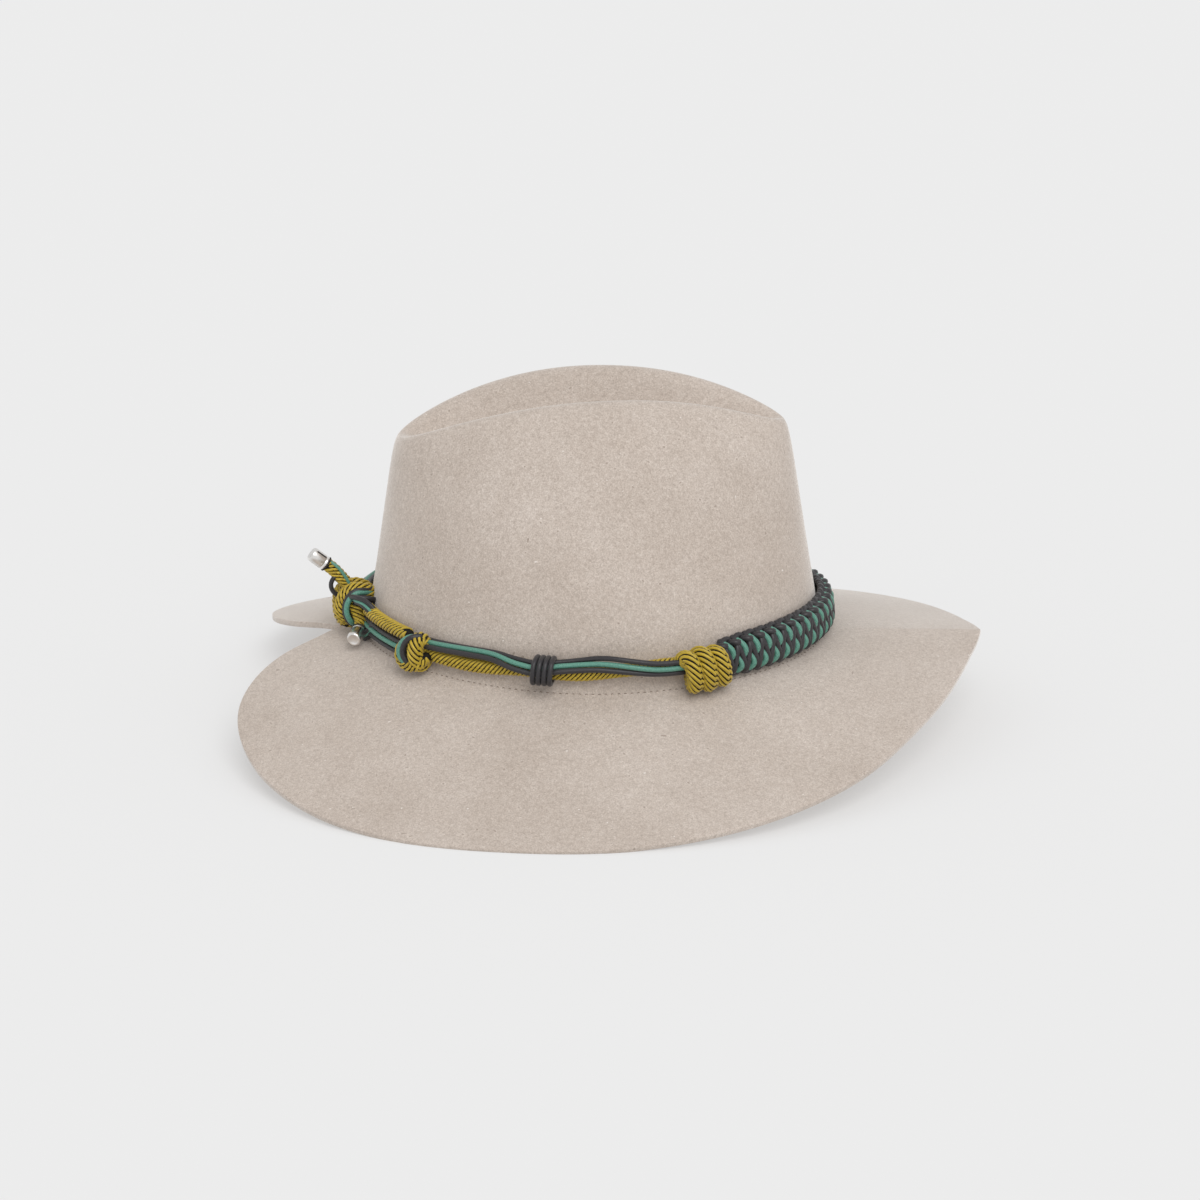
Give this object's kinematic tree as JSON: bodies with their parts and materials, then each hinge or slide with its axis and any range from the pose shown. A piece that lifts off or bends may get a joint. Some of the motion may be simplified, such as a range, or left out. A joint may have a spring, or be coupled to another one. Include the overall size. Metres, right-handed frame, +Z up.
{
  "type": "wool felt hat with a knotted cord band",
  "caption": "Stiff wool felt hat with a creased teardrop crown, a wide drooping brim notched at the back, and a braided and knotted cord band.",
  "frame": {"origin": "on the surface that the brim rests on, under the middle of the hat's outline", "axes": "+X towards the front of the hat, +Y towards the wearer's left, +Z up"},
  "size_m": [0.3378, 0.3424, 0.1584],
  "materials": {
    "felt": "matte brushed wool felt",
    "gold_cord": "twisted waxed cord, mustard and black",
    "charcoal_cord": "waxed cord",
    "teal_cord": "waxed cord",
    "metal_tip": "satin silver"
  },
  "bodies": {
    "root": {"felt_hat": "felt", "gold_cord_right": "gold_cord", "gold_cord_left": "gold_cord", "gold_cord_rear": "gold_cord", "wrapped_knot_right": "gold_cord", "wrapped_knot_left": "gold_cord", "small_knot": "gold_cord", "rear_knot": "gold_cord", "charcoal_cord_lower_right": "charcoal_cord", "charcoal_cord_upper_right": "charcoal_cord", "charcoal_cord_lower_left": "charcoal_cord", "charcoal_cord_upper_left": "charcoal_cord", "charcoal_cord_lower_rear": "charcoal_cord", "charcoal_cord_upper_rear": "charcoal_cord", "cord_binding": "charcoal_cord", "cobra_braid": "charcoal_cord", "charcoal_turn": "charcoal_cord", "tail_loop": "charcoal_cord", "teal_cord_right": "teal_cord", "teal_cord_left": "teal_cord", "teal_cord_rear": "teal_cord", "teal_turn": "teal_cord", "metal_tip_up": "metal_tip", "metal_tip_down": "metal_tip"}
  },
  "joints": []
}
